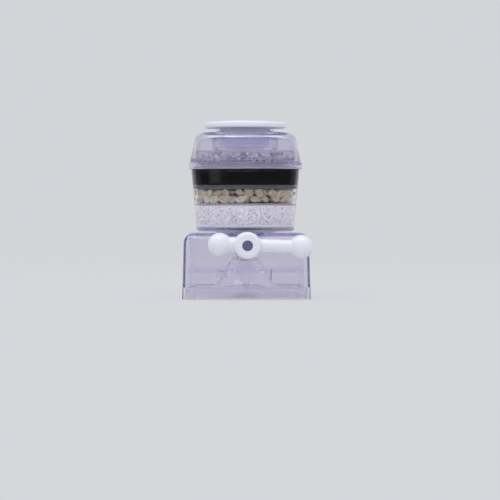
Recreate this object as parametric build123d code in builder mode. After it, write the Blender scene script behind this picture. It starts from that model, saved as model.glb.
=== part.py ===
from build123d import *

import os
from math import cos, hypot, radians, sin, sqrt, tan

# A water filter that hangs from a kitchen spout, in millimetres.
# Z is up and the lever is at the front, towards -Y. The origin is at the mouth of the sleeve,
# on the axis of the spout. Every level below is worked down from there.

# Clearances
PRESS_GAP = 0.05
RUN_GAP = 0.08
THREAD_GAP = 0.35
NECK_ROOM = 0.7
BED_GAP = 0.10

# Spout sleeve
SPOUT_R = 9.5
SLEEVE_WALL = 1.5
SLEEVE_REACH = 7.8
LIP_H = 0.55
LIP_W = 1.5
RING_R = 18.2
RING_T = 2.55
RING_EDGE = 0.8
RIB_H = 0.35
RIB_W = 0.9
RIB_COUNT = 4

# Inlet washer and screen
WASHER_T = 1.2
WASHER_LAND = 2.6
SCREEN_INSET = 0.85
SCREEN_T = 0.5
SCREEN_HOLE_R = 0.8
SCREEN_PITCH = 3.0

# Cap
COLLAR_WALL = 1.6
COLLAR_H = 2.1
DECK_EDGE = 3.2
DECK_EDGE_IN = 2.3
CAP_H = 13.45
CAP_WALL = 1.8
SKIRT_WALL_LOW = 2.45
SKIRT_FLARE = 2.2
FLANGE_LIP = 0.45
FLANGE_H = 2.85
FLANGE_EDGE = 0.35
BOSS_WALL = 3.5
LEDGE_T = 1.2

# Seal between the cap and the cup
SEAL_W = 1.4
SEAL_T = 1.0

# Cup
NECK_R = 22.2
NECK_WALL = 1.8
NECK_H = 7.8
CUP_SHOULDER_W = 2.1
CUP_TAPER = 2.35
CUP_WALL = 1.5
CUP_FLOOR = 2.0
CUP_EDGE = 1.2
SHOULDER_T = 1.6
HUB_WALL = 1.5
HUB_RISE = 2.6

# Filter layers, from the top down
GRID_T = 1.0
GRID_HOLE_R = 1.4
GRID_PITCH = 5.8
HOLES_PER_RING = 6
MINERAL_H = 4.2
CARBON_H = 7.2
MIDDLE_PAD_T = 1.8
STONE_H = 6.35
STONE_R = 2.35
STONE_RELIEF = 1.8
STONES_PER_COURSE = 13
STONE_SCREEN_T = 0.9
GRANULE_H = 8.4
BOTTOM_PAD_T = 1.2

# Swivel between the cup and the head
SPIGOT_R = 8.0
SPIGOT_BORE_R = 5.0
CLIP_T = 0.8
CLIP_GRIP = 0.8
CLIP_W = 1.9
CLIP_GAP = 4.0
SPIGOT_TIP = 1.2
SPIGOT_RING_D = 1.2
SWIVEL_GAP = 0.35
SWIVEL_WASHER_W = 5.0
STRAINER_WALL = 0.9
STRAINER_ROOM = 0.6
STRAINER_SLOTS = 10
STRAINER_SLOT_W = 1.2
STRAINER_SLOT_L = 3.6

# Head shell
HEAD_W = 56.8
HEAD_D = 50.0
HEAD_H = 29.4
HEAD_CORNER = 6.5
HEAD_TAPER = 1.3
HEAD_WALL = 2.2
HEAD_DECK = 2.0
SHOULDER_EDGE = 4.8
SKIRT_WALL = 1.3

# Diverter valve
VALVE_DROP = 5.5
BARREL_R = 5.4
BARREL_BORE_R = 3.9
BARREL_REAR = 10.5
BARREL_END = 1.5
INLET_PORT_Y = 3.1
STREAM_PORT_Y = -1.5
SPRAY_PORT_Y = -12.5
PORT_R = 1.2
WAIST_R = 2.6
WAIST_W = 3.8
ROTOR_BORE_R = 1.8
ROTOR_RING_D = 1.15
MIDDLE_RING_Y = -7.0
FRONT_RING_Y = -18.0
BUSH_L = 3.2
JOURNAL_R = 2.1
TANG_SIDE = 2.9
TANG_L = 6.0

# Bell and inner floor
BELL_SPIGOT_R = 4.6
BELL_SPIGOT_WALL = 1.0
BELL_SPIGOT_L = 2.2
BELL_COLLAR_WALL = 1.0
BELL_COLLAR_L = 2.6
BELL_R = 16.0
BELL_WALL = 1.3
FLOOR_DROP = 16.0
FLOOR_T = 1.6
FLOOR_GAP = 0.15
SLOT_L = 24.0
SLOT_W = 3.2
SLOT_INSET = 3.4

# Spray plate and stream nozzle
GASKET_T = 0.6
PLATE_RIM_H = 4.0
PLATE_RIM_WALL = 1.4
PLATE_T = 1.7
PLATE_RECESS = 0.6
SPRAY_HOLE_R = 0.65
SPRAY_PITCH = 4.6
SPRAY_MARGIN = 2.2
BELL_LAND = 1.3
NOZZLE_R = 6.5
NOZZLE_WALL = 1.3
NOZZLE_FLANGE_R = 7.8
NOZZLE_FLANGE_T = 1.1
NOZZLE_LIP = 0.3
STREAM_PITCH = 2.4

# Lever
LEVER_GAP = 0.5
LEVER_R = 5.95
LEVER_DEPTH = 10.8
LEVER_EDGE = 1.6
LEVER_DROOP = 1.5
BALL_R = 5.25
LONG_ARM = 23.4
SHORT_ARM = 12.0
ARM_ROOT_R = 3.1
ARM_TIP_R = 3.0
SHORT_ARM_R = 3.5
SCREW_HEAD_R = 2.1
SCREW_HEAD_T = 1.4
SCREW_R = 0.75
SCREW_L = 6.0
DRIVE_W = 0.7
DRIVE_L = 2.7
PLUG_R = 2.3
PLUG_T = 1.3
PLUG_CROWN = 0.3

# Levels of the sleeve and cap
mouth_z = 0.0
ring_top_z = mouth_z - LIP_H
ring_z = ring_top_z - RING_T
sleeve_z = ring_z - SLEEVE_REACH
washer_z = sleeve_z - WASHER_T
boss_z = washer_z - LEDGE_T
deck_z = ring_z - COLLAR_H
flange_z = deck_z - CAP_H
joint_z = flange_z - FLANGE_H
neck_z = joint_z + NECK_H

# Levels of the filter layers and the cup
grid_z = neck_z - GRID_T
mineral_z = grid_z - MINERAL_H
carbon_z = joint_z - CARBON_H
middle_pad_z = carbon_z - MIDDLE_PAD_T
stone_z = middle_pad_z - STONE_H
stone_screen_z = stone_z - STONE_SCREEN_T
granule_z = stone_screen_z - GRANULE_H
cup_floor_z = granule_z - BOTTOM_PAD_T
cup_z = cup_floor_z - CUP_FLOOR
hub_z = cup_floor_z + HUB_RISE

# Levels of the swivel and the head
clip_z = hub_z + PRESS_GAP
clip_top_z = clip_z + CLIP_T
spigot_z = clip_top_z + SPIGOT_TIP
head_z = cup_z - SWIVEL_GAP
base_z = head_z - HEAD_H
valve_z = head_z - VALVE_DROP
barrel_z = valve_z - BARREL_R
bell_spigot_z = barrel_z - BELL_SPIGOT_L
bell_top_z = barrel_z - PRESS_GAP
bell_collar_z = bell_top_z - BELL_COLLAR_L
floor_top_z = head_z - FLOOR_DROP
floor_z = floor_top_z - FLOOR_T
plate_z = base_z + PLATE_RECESS
plate_top_z = plate_z + PLATE_T
rim_z = plate_z + PLATE_RIM_H
gasket_z = rim_z + GASKET_T

# Radii that follow from the ones above
sleeve_r = SPOUT_R + SLEEVE_WALL
socket_r = sleeve_r + RIB_H + PRESS_GAP
collar_r = socket_r + COLLAR_WALL
boss_r = socket_r + BOSS_WALL
ledge_r = socket_r - WASHER_LAND
bore_r = NECK_R + THREAD_GAP
skirt_r = bore_r + SKIRT_WALL_LOW
deck_r = skirt_r - SKIRT_FLARE
deck_in_r = deck_r - CAP_WALL
flange_r = skirt_r + FLANGE_LIP
neck_in_r = NECK_R - NECK_WALL
seal_in_r = NECK_R + PRESS_GAP
seal_r = seal_in_r + SEAL_W
cup_top_r = NECK_R + CUP_SHOULDER_W
cup_bottom_r = cup_top_r - CUP_TAPER
swivel_r = SPIGOT_R + RUN_GAP
hub_r = swivel_r + HUB_WALL
strainer_in_r = hub_r + PRESS_GAP
strainer_r = strainer_in_r + STRAINER_WALL
strainer_z = spigot_z + STRAINER_ROOM + STRAINER_WALL
rotor_r = BARREL_BORE_R - RUN_GAP
front_y = -HEAD_D / 2
lever_back_y = front_y - LEVER_GAP
lever_front_y = lever_back_y - LEVER_DEPTH
lever_mid_y = (lever_back_y + lever_front_y) / 2

# Grooves, places along the valve's axis and the line of the arms
ring_groove_w = SPIGOT_RING_D + 2 * PRESS_GAP
ring_groove_z = (cup_z + cup_floor_z - ring_groove_w) / 2
spigot_groove_r = SPIGOT_R - SPIGOT_RING_D - PRESS_GAP
rotor_groove_w = ROTOR_RING_D + 2 * PRESS_GAP
rear_gap = 2 * RUN_GAP
rotor_rear_y = BARREL_REAR - BARREL_END - rear_gap
bush_y = front_y + BUSH_L
tang_y = lever_back_y
screw_seat_y = lever_front_y + PLUG_T + SCREW_HEAD_T
screw_in_tang = SCREW_L - (tang_y - TANG_L - screw_seat_y) + PRESS_GAP
valve_axis = Axis((0, 0, valve_z), (0, 1, 0))
arm_plane = Plane(
    origin=(0, lever_mid_y, valve_z),
    x_dir=(cos(radians(LEVER_DROOP)), 0, -sin(radians(LEVER_DROOP))),
    z_dir=(0, -1, 0),
)
arm_axis = Axis(arm_plane.origin, arm_plane.x_dir)

# Slopes
taper_run = tan(radians(HEAD_TAPER))
cup_slope = (cup_top_r - cup_bottom_r) / (joint_z - cup_z)


def cup_r(z):
    """Outer radius of the cup's tapered wall at a level."""
    return cup_bottom_r + cup_slope * (z - cup_z)


def cup_in_r(z):
    """Inner radius of the cup's tapered wall at a level."""
    return cup_r(z) - CUP_WALL


def head_size(z, inset):
    """Width, depth and corner radius of the head's outline at a level, inset from its outside."""
    less = 2 * (inset + (z - base_z) * taper_run)
    return HEAD_W - less, HEAD_D - less, max(HEAD_CORNER - inset, 0.5)


def write(piece, name):
    """Label a finished piece and write it to its own file."""
    piece.part.label = name
    export_step(piece.part, f"parts/{name}.step")


os.makedirs("parts", exist_ok=True)

# Spout sleeve: one soft moulding, a flange with a body that plugs into the cap's socket
with BuildPart() as spout_sleeve:
    with BuildSketch(Plane.XZ) as sleeve_profile:
        with BuildLine():
            Polyline(
                (SPOUT_R, mouth_z),
                (SPOUT_R + LIP_W, mouth_z),
                (SPOUT_R + LIP_W, ring_top_z),
                (RING_R, ring_top_z),
                (RING_R, ring_z),
                (sleeve_r, ring_z),
                (sleeve_r, sleeve_z),
                (SPOUT_R, sleeve_z),
                close=True,
            )
        make_face()
        ring_corners = sleeve_profile.vertices().group_by(Axis.X)[-1]
        fillet(ring_corners, RING_EDGE)
        lip_corner = sleeve_profile.vertices().sort_by_distance((SPOUT_R + LIP_W, mouth_z))[0]
        fillet(lip_corner, min(LIP_W, LIP_H) / 2)
    revolve(axis=Axis.Z)
    rib_pitch = SLEEVE_REACH / RIB_COUNT
    for i in range(RIB_COUNT):
        rib_mid_z = ring_z - rib_pitch * (i + 0.5)
        with BuildSketch(Plane.XZ):
            with BuildLine():
                Polyline(
                    (sleeve_r - RIB_H, rib_mid_z + RIB_W / 2),
                    (sleeve_r, rib_mid_z + RIB_W / 2),
                    (sleeve_r + RIB_H, rib_mid_z),
                    (sleeve_r, rib_mid_z - RIB_W / 2),
                    (sleeve_r - RIB_H, rib_mid_z - RIB_W / 2),
                    close=True,
                )
            make_face()
        revolve(axis=Axis.Z)
write(spout_sleeve, "spout_sleeve")

# Inlet washer: a flat rubber ring with a step that carries the screen
washer_r = socket_r - PRESS_GAP
screen_r = washer_r - SCREEN_INSET
with BuildPart() as inlet_washer:
    with BuildSketch(Plane.XY.offset(washer_z)):
        Circle(washer_r)
        Circle(ledge_r, mode=Mode.SUBTRACT)
    extrude(amount=WASHER_T)
    with BuildSketch(Plane.XY.offset(sleeve_z)):
        Circle(screen_r + PRESS_GAP)
    extrude(amount=-SCREEN_T, mode=Mode.SUBTRACT)
write(inlet_washer, "inlet_washer")

# Inlet screen: a thin steel disc with a field of round holes
with BuildPart() as inlet_screen:
    with BuildSketch(Plane.XY.offset(sleeve_z - SCREEN_T)):
        Circle(screen_r)
        screen_field = ledge_r - SCREEN_HOLE_R
        rows = int(screen_field / SCREEN_PITCH)
        spots = [
            (i * SCREEN_PITCH, j * SCREEN_PITCH)
            for i in range(-rows, rows + 1)
            for j in range(-rows, rows + 1)
            if hypot(i, j) * SCREEN_PITCH < screen_field
        ]
        with Locations(*spots):
            Circle(SCREEN_HOLE_R, mode=Mode.SUBTRACT)
    extrude(amount=SCREEN_T)
write(inlet_screen, "inlet_screen")

# Cap: a clear dome with the socket for the sleeve, a bore over the cup's neck and a bottom flange
rebate_r = seal_r + RUN_GAP
neck_room_z = neck_z + NECK_ROOM
with BuildPart() as cap:
    with BuildSketch(Plane.XZ) as cap_profile:
        with BuildLine():
            Polyline(
                (socket_r, ring_z),
                (collar_r, ring_z),
                (collar_r, deck_z),
                (deck_r, deck_z),
                (skirt_r, flange_z),
                (flange_r, flange_z),
                (flange_r, joint_z),
                (rebate_r, joint_z),
                (rebate_r, joint_z + SEAL_T),
                (bore_r, joint_z + SEAL_T),
                (bore_r, neck_room_z),
                (deck_in_r, deck_z - CAP_WALL),
                (boss_r, deck_z - CAP_WALL),
                (boss_r, boss_z),
                (ledge_r, boss_z),
                (ledge_r, washer_z),
                (socket_r, washer_z),
                close=True,
            )
        make_face()
        deck_corner = cap_profile.vertices().sort_by_distance((deck_r, deck_z))[0]
        fillet(deck_corner, DECK_EDGE)
        flange_corners = cap_profile.vertices().group_by(Axis.X)[-1]
        fillet(flange_corners, FLANGE_EDGE)
        inner_corner = cap_profile.vertices().sort_by_distance((deck_in_r, deck_z - CAP_WALL))[0]
        fillet(inner_corner, min(DECK_EDGE_IN, (deck_in_r - boss_r) / 2))
    revolve(axis=Axis.Z)
write(cap, "cap")

# Seal ring that the cap's flange presses on the cup's shoulder
with BuildPart() as cup_seal:
    with BuildSketch(Plane.XY.offset(joint_z)):
        Circle(seal_r)
        Circle(seal_in_r, mode=Mode.SUBTRACT)
    extrude(amount=SEAL_T)
write(cup_seal, "cup_seal")

# Cup: the clear tapered jar with its threaded neck, its floor and the hub that the head turns on
shoulder_z = joint_z - SHOULDER_T
with BuildPart() as cup:
    with BuildSketch(Plane.XZ) as cup_profile:
        with BuildLine():
            Polyline(
                (neck_in_r, neck_z),
                (NECK_R, neck_z),
                (NECK_R, joint_z),
                (cup_top_r, joint_z),
                (cup_bottom_r, cup_z),
                (swivel_r, cup_z),
                (swivel_r, hub_z),
                (hub_r, hub_z),
                (hub_r, cup_floor_z),
                (cup_in_r(cup_floor_z), cup_floor_z),
                (cup_in_r(shoulder_z), shoulder_z),
                (neck_in_r, joint_z),
                close=True,
            )
        make_face()
        foot_corner = cup_profile.vertices().sort_by_distance((cup_bottom_r, cup_z))[0]
        fillet(foot_corner, CUP_EDGE)
    revolve(axis=Axis.Z)
write(cup, "cup")

# Grid: a moulded disc with rings of holes that closes the neck over the grey mineral
grid_r = neck_in_r - BED_GAP
with BuildPart() as neck_grid:
    with BuildSketch(Plane.XY.offset(grid_z)):
        Circle(grid_r)
        Circle(GRID_HOLE_R, mode=Mode.SUBTRACT)
        for ring in range(1, int((grid_r - GRID_HOLE_R) / GRID_PITCH) + 1):
            with PolarLocations(ring * GRID_PITCH, ring * HOLES_PER_RING):
                Circle(GRID_HOLE_R, mode=Mode.SUBTRACT)
    extrude(amount=GRID_T)
write(neck_grid, "neck_grid")


def layer_outline(top_z, bottom_z, inner_r, inset=BED_GAP):
    """Half section of a filter layer, inset from the cup's wall and clear of what stands inside."""
    return [
        (inner_r, top_z),
        (cup_in_r(top_z) - inset, top_z),
        (cup_in_r(bottom_z) - inset, bottom_z),
        (inner_r, bottom_z),
    ]


# Grey mineral bed in the neck
with BuildPart() as mineral_bed:
    with BuildSketch(Plane.XY.offset(mineral_z)):
        Circle(neck_in_r - BED_GAP)
    extrude(amount=MINERAL_H)
write(mineral_bed, "mineral_bed")

# White pad under the mineral, in the neck
with BuildPart() as upper_pad:
    with BuildSketch(Plane.XY.offset(joint_z)):
        Circle(neck_in_r - BED_GAP)
    extrude(amount=mineral_z - joint_z)
write(upper_pad, "upper_pad")

# Black carbon bed, which fills the cup's shoulder
with BuildPart() as carbon_bed:
    with BuildSketch(Plane.XZ):
        with BuildLine():
            Polyline(
                (0, joint_z),
                (neck_in_r - BED_GAP, joint_z),
                (cup_in_r(shoulder_z) - BED_GAP, shoulder_z),
                (cup_in_r(carbon_z) - BED_GAP, carbon_z),
                (0, carbon_z),
                close=True,
            )
        make_face()
    revolve(axis=Axis.Z)
write(carbon_bed, "carbon_bed")

# Grey pad between the carbon and the stones
with BuildPart() as middle_pad:
    with BuildSketch(Plane.XZ):
        with BuildLine():
            Polyline(*layer_outline(carbon_z, middle_pad_z, 0), close=True)
        make_face()
    revolve(axis=Axis.Z)
write(middle_pad, "middle_pad")

# Bed of small tan stones: pebbles at the wall, in two staggered courses, round a plain core
low_course_z = stone_z + STONE_R + BED_GAP / 2
high_course_z = middle_pad_z - STONE_R - BED_GAP / 2
half_step = 180 / STONES_PER_COURSE
with BuildPart() as stone_bed:
    with BuildSketch(Plane.XZ):
        with BuildLine():
            Polyline(*layer_outline(middle_pad_z, stone_z, 0, BED_GAP + STONE_RELIEF), close=True)
        make_face()
    revolve(axis=Axis.Z)
    for course_z, first_angle in ((low_course_z, 0), (high_course_z, half_step)):
        course_r = cup_in_r(course_z) - BED_GAP - STONE_R
        with Locations((0, 0, course_z)):
            with PolarLocations(course_r, STONES_PER_COURSE, start_angle=first_angle):
                Sphere(STONE_R)
write(stone_bed, "stone_bed")

# Fine screen under the stones
with BuildPart() as stone_screen:
    with BuildSketch(Plane.XZ):
        with BuildLine():
            Polyline(*layer_outline(stone_z, stone_screen_z, 0), close=True)
        make_face()
    revolve(axis=Axis.Z)
write(stone_screen, "stone_screen")

# Bed of fine white granules, hollow over the outlet strainer
with BuildPart() as granule_bed:
    with BuildSketch(Plane.XZ):
        with BuildLine():
            Polyline(
                (0, stone_screen_z),
                (cup_in_r(stone_screen_z) - BED_GAP, stone_screen_z),
                (cup_in_r(granule_z) - BED_GAP, granule_z),
                (strainer_r + BED_GAP, granule_z),
                (strainer_r + BED_GAP, strainer_z + BED_GAP),
                (0, strainer_z + BED_GAP),
                close=True,
            )
        make_face()
    revolve(axis=Axis.Z)
write(granule_bed, "granule_bed")

# White pad on the cup's floor
with BuildPart() as bottom_pad:
    with BuildSketch(Plane.XZ):
        with BuildLine():
            Polyline(*layer_outline(granule_z, cup_floor_z, strainer_r + BED_GAP), close=True)
        make_face()
    revolve(axis=Axis.Z)
write(bottom_pad, "bottom_pad")

# Outlet strainer: a slotted hood over the top of the spigot
with BuildPart() as outlet_strainer:
    with BuildSketch(Plane.XY.offset(cup_floor_z)):
        Circle(strainer_r)
    extrude(amount=strainer_z - cup_floor_z)
    fillet(outlet_strainer.edges().group_by(Axis.Z)[-1], STRAINER_WALL)
    with BuildSketch(Plane.XY.offset(cup_floor_z)):
        Circle(strainer_in_r)
    extrude(amount=strainer_z - STRAINER_WALL - cup_floor_z, mode=Mode.SUBTRACT)
    with BuildSketch(Plane.XY.offset(hub_z)):
        with PolarLocations(strainer_r, STRAINER_SLOTS):
            Rectangle(STRAINER_SLOT_L, STRAINER_SLOT_W)
    extrude(amount=spigot_z - hub_z, mode=Mode.SUBTRACT)
write(outlet_strainer, "outlet_strainer")

# Head shell: the clear housing, open below, with the valve barrel and the swivel spigot moulded in
with BuildPart() as head_shell:
    with BuildSketch(Plane.XY.offset(base_z)):
        RectangleRounded(*head_size(base_z, 0))
    extrude(amount=HEAD_H, taper=HEAD_TAPER)
    fillet(head_shell.edges().group_by(Axis.Z)[-1], SHOULDER_EDGE)
    with BuildSketch(Plane.XY.offset(base_z)):
        RectangleRounded(*head_size(base_z, HEAD_WALL))
    extrude(amount=HEAD_H - HEAD_DECK, taper=HEAD_TAPER, mode=Mode.SUBTRACT)
    with BuildSketch(Plane.XY.offset(base_z)):
        RectangleRounded(*head_size(base_z, SKIRT_WALL))
    extrude(amount=gasket_z - base_z, taper=HEAD_TAPER, mode=Mode.SUBTRACT)
    with BuildSketch(Plane.XZ.offset(-BARREL_REAR)):
        with Locations((0, valve_z)):
            Circle(BARREL_R)
    extrude(amount=BARREL_REAR - front_y)
    with BuildSketch(Plane.XY.offset(bell_spigot_z)):
        Circle(BELL_SPIGOT_R)
    extrude(amount=valve_z - bell_spigot_z)
    with BuildSketch(Plane.XY.offset(valve_z)):
        Circle(SPIGOT_R)
    extrude(amount=spigot_z - valve_z)
    with BuildSketch(Plane.XZ.offset(BARREL_END - BARREL_REAR)):
        with Locations((0, valve_z)):
            Circle(BARREL_BORE_R)
    extrude(amount=BARREL_REAR - BARREL_END - front_y, mode=Mode.SUBTRACT)
    with BuildSketch(Plane.XY.offset(valve_z + BARREL_R)):
        Circle(SPIGOT_BORE_R)
    extrude(amount=spigot_z - valve_z - BARREL_R, mode=Mode.SUBTRACT)
    with BuildSketch(Plane.XY.offset(valve_z)):
        with Locations((0, INLET_PORT_Y)):
            Circle(PORT_R)
    extrude(amount=BARREL_R + PORT_R, mode=Mode.SUBTRACT)
    with BuildSketch(Plane.XY.offset(valve_z)):
        with Locations((0, STREAM_PORT_Y), (0, SPRAY_PORT_Y)):
            Circle(PORT_R)
    extrude(amount=-(BARREL_R + PORT_R), mode=Mode.SUBTRACT)
    with BuildSketch(Plane.XY.offset(bell_spigot_z)):
        Circle(BELL_SPIGOT_R - BELL_SPIGOT_WALL)
    extrude(amount=BELL_SPIGOT_L, mode=Mode.SUBTRACT)
    with BuildSketch(Plane.XY.offset(ring_groove_z)):
        Circle(SPIGOT_R)
        Circle(spigot_groove_r, mode=Mode.SUBTRACT)
    extrude(amount=ring_groove_w, mode=Mode.SUBTRACT)
    with BuildSketch(Plane.XY.offset(clip_z)):
        Circle(SPIGOT_R)
        Circle(SPIGOT_R - CLIP_GRIP, mode=Mode.SUBTRACT)
    extrude(amount=CLIP_T + PRESS_GAP, mode=Mode.SUBTRACT)
write(head_shell, "head_shell")

# Swivel washer: the thin dark ring that the cup turns on
with BuildPart() as swivel_washer:
    with BuildSketch(Plane.XY.offset(head_z)):
        Circle(swivel_r + SWIVEL_WASHER_W)
        Circle(swivel_r, mode=Mode.SUBTRACT)
    extrude(amount=SWIVEL_GAP)
write(swivel_washer, "swivel_washer")

# Rubber ring in the spigot's groove, against the bore of the cup's hub
with BuildPart() as spigot_seal:
    with BuildSketch(Plane.XZ):
        with Locations((SPIGOT_R - SPIGOT_RING_D / 2, ring_groove_z + ring_groove_w / 2)):
            Circle(SPIGOT_RING_D / 2)
    revolve(axis=Axis.Z)
write(spigot_seal, "spigot_seal")

# Split clip that keeps the spigot in the cup
with BuildPart() as spigot_clip:
    with BuildSketch(Plane.XY.offset(clip_z)):
        Circle(SPIGOT_R - CLIP_GRIP + PRESS_GAP + CLIP_W)
        Circle(SPIGOT_R - CLIP_GRIP + PRESS_GAP, mode=Mode.SUBTRACT)
        with Locations((0, SPIGOT_R)):
            Rectangle(CLIP_GAP, 2 * CLIP_W + 2 * CLIP_GRIP, mode=Mode.SUBTRACT)
    extrude(amount=CLIP_T)
write(spigot_clip, "spigot_clip")

# Rotor: the hollow spindle of the diverter, with one port for each outlet and a square tang
with BuildPart() as valve_rotor:
    with BuildSketch(Plane.XZ.offset(rear_gap - BARREL_REAR + BARREL_END)):
        with Locations((0, valve_z)):
            Circle(rotor_r)
    extrude(amount=rotor_rear_y - bush_y)
    with BuildSketch(Plane.XZ.offset(-bush_y)):
        with Locations((0, valve_z)):
            Circle(JOURNAL_R)
    extrude(amount=bush_y - tang_y)
    with BuildSketch(Plane.XZ.offset(-tang_y)):
        with Locations((0, valve_z)):
            Rectangle(TANG_SIDE, TANG_SIDE)
    extrude(amount=TANG_L)
    for groove_y, groove_w in (
        (INLET_PORT_Y, WAIST_W),
        (MIDDLE_RING_Y, rotor_groove_w),
        (FRONT_RING_Y, rotor_groove_w),
    ):
        with BuildSketch(Plane.XZ.offset(-groove_y - groove_w / 2)):
            with Locations((0, valve_z)):
                Circle(rotor_r)
                Circle(WAIST_R, mode=Mode.SUBTRACT)
        extrude(amount=groove_w, mode=Mode.SUBTRACT)
    for port_y, up, down in (
        (INLET_PORT_Y, rotor_r, rotor_r),
        (STREAM_PORT_Y, rotor_r, 0),
        (SPRAY_PORT_Y, 0, rotor_r),
    ):
        with BuildSketch(Plane.XY.offset(valve_z - down)):
            with Locations((0, port_y)):
                Circle(PORT_R)
        extrude(amount=up + down, mode=Mode.SUBTRACT)
    with BuildSketch(Plane.XZ.offset(-rotor_rear_y)):
        with Locations((0, valve_z)):
            Circle(ROTOR_BORE_R)
    extrude(amount=rotor_rear_y - SPRAY_PORT_Y + PORT_R, mode=Mode.SUBTRACT)
    with BuildSketch(Plane.XZ.offset(TANG_L - tang_y)):
        with Locations((0, valve_z)):
            Circle(SCREW_R + PRESS_GAP)
    extrude(amount=-screw_in_tang, mode=Mode.SUBTRACT)
write(valve_rotor, "valve_rotor")

# Rubber rings of the rotor, one between the outlets and one towards the front
for name, ring_y in (("rotor_seal_middle", MIDDLE_RING_Y), ("rotor_seal_front", FRONT_RING_Y)):
    with BuildPart() as rotor_seal:
        with BuildSketch(Plane.XY.offset(valve_z)):
            with Locations((rotor_r - ROTOR_RING_D / 2, ring_y)):
                Circle(ROTOR_RING_D / 2)
        revolve(axis=valve_axis)
    write(rotor_seal, name)

# Bush pressed in the barrel's mouth, which keeps the rotor in
with BuildPart() as spindle_bush:
    with BuildSketch(Plane.XZ.offset(-front_y)):
        with Locations((0, valve_z)):
            Circle(BARREL_BORE_R - PRESS_GAP)
            Circle(JOURNAL_R + RUN_GAP, mode=Mode.SUBTRACT)
    extrude(amount=-BUSH_L)
write(spindle_bush, "spindle_bush")

# Bell: a cone pressed on the barrel's spigot, which takes the plain stream down to the nozzle
bell_in_r = BELL_SPIGOT_R + PRESS_GAP
bell_out_r = bell_in_r + BELL_COLLAR_WALL
bell_slope = (BELL_R - bell_out_r) / (bell_top_z - plate_top_z)
with BuildPart() as stream_bell:
    with BuildSketch(Plane.XZ):
        with BuildLine():
            Polyline(
                (bell_in_r, bell_top_z),
                (bell_out_r, bell_top_z),
                (BELL_R, plate_top_z),
                (BELL_R - BELL_WALL, plate_top_z),
                (bell_in_r, bell_collar_z),
                close=True,
            )
        make_face()
    revolve(axis=Axis.Z)
write(stream_bell, "stream_bell")

# Inner floor: a slotted plate that rests round the bell and parts the upper chamber from the lower
floor_w, floor_d, floor_corner = head_size(floor_top_z, HEAD_WALL + FLOOR_GAP)
floor_hole_r = bell_out_r + bell_slope * (bell_top_z - floor_z) + PRESS_GAP
slot_x = floor_w / 2 - SLOT_INSET
with BuildPart() as inner_floor:
    with BuildSketch(Plane.XY.offset(floor_z)):
        RectangleRounded(floor_w, floor_d, floor_corner)
        Circle(floor_hole_r, mode=Mode.SUBTRACT)
        with Locations((slot_x, 0), (-slot_x, 0)):
            SlotOverall(SLOT_L, SLOT_W, rotation=90, mode=Mode.SUBTRACT)
    extrude(amount=FLOOR_T)
write(inner_floor, "inner_floor")

# Gasket between the shell's ledge and the rim of the spray plate
with BuildPart() as plate_gasket:
    with BuildSketch(Plane.XY.offset(rim_z)):
        RectangleRounded(*head_size(gasket_z, SKIRT_WALL + FLOOR_GAP))
        RectangleRounded(*head_size(gasket_z, HEAD_WALL + FLOOR_GAP), mode=Mode.SUBTRACT)
    extrude(amount=GASKET_T)
write(plate_gasket, "plate_gasket")

# Spray plate: a shallow tray with a grid of fine holes round the bell and a hole for the nozzle
plate_w, plate_d, plate_corner = head_size(rim_z, SKIRT_WALL + FLOOR_GAP)
hole_x = int((plate_w / 2 - PLATE_RIM_WALL - SPRAY_MARGIN) / SPRAY_PITCH)
hole_y = int((plate_d / 2 - PLATE_RIM_WALL - SPRAY_MARGIN) / SPRAY_PITCH)
spray_spots = [
    (i * SPRAY_PITCH, j * SPRAY_PITCH)
    for i in range(-hole_x, hole_x + 1)
    for j in range(-hole_y, hole_y + 1)
    if hypot(i, j) * SPRAY_PITCH > BELL_R + BELL_LAND
]
with BuildPart() as spray_plate:
    with BuildSketch(Plane.XY.offset(plate_z)):
        RectangleRounded(plate_w, plate_d, plate_corner)
    extrude(amount=PLATE_RIM_H)
    with BuildSketch(Plane.XY.offset(plate_top_z)):
        RectangleRounded(
            plate_w - 2 * PLATE_RIM_WALL,
            plate_d - 2 * PLATE_RIM_WALL,
            max(plate_corner - PLATE_RIM_WALL, 0.5),
        )
    extrude(amount=rim_z - plate_top_z, mode=Mode.SUBTRACT)
    with BuildSketch(Plane.XY.offset(plate_z)):
        Circle(NOZZLE_R + PRESS_GAP)
        with Locations(*spray_spots):
            Circle(SPRAY_HOLE_R)
    extrude(amount=PLATE_T, mode=Mode.SUBTRACT)
write(spray_plate, "spray_plate")

# Stream nozzle: a flanged tube that drops into the middle of the spray plate
screen_seat_r = NOZZLE_FLANGE_R - NOZZLE_WALL
with BuildPart() as stream_nozzle:
    with BuildSketch(Plane.XY.offset(plate_z - NOZZLE_LIP)):
        Circle(NOZZLE_R)
    extrude(amount=PLATE_T + NOZZLE_LIP)
    with BuildSketch(Plane.XY.offset(plate_top_z)):
        Circle(NOZZLE_FLANGE_R)
    extrude(amount=NOZZLE_FLANGE_T)
    with BuildSketch(Plane.XY.offset(plate_top_z + NOZZLE_FLANGE_T)):
        Circle(screen_seat_r)
    extrude(amount=-SCREEN_T, mode=Mode.SUBTRACT)
    with BuildSketch(Plane.XY.offset(plate_z - NOZZLE_LIP)):
        Circle(NOZZLE_R - NOZZLE_WALL)
    extrude(amount=PLATE_T + NOZZLE_LIP + NOZZLE_FLANGE_T, mode=Mode.SUBTRACT)
write(stream_nozzle, "stream_nozzle")

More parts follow.
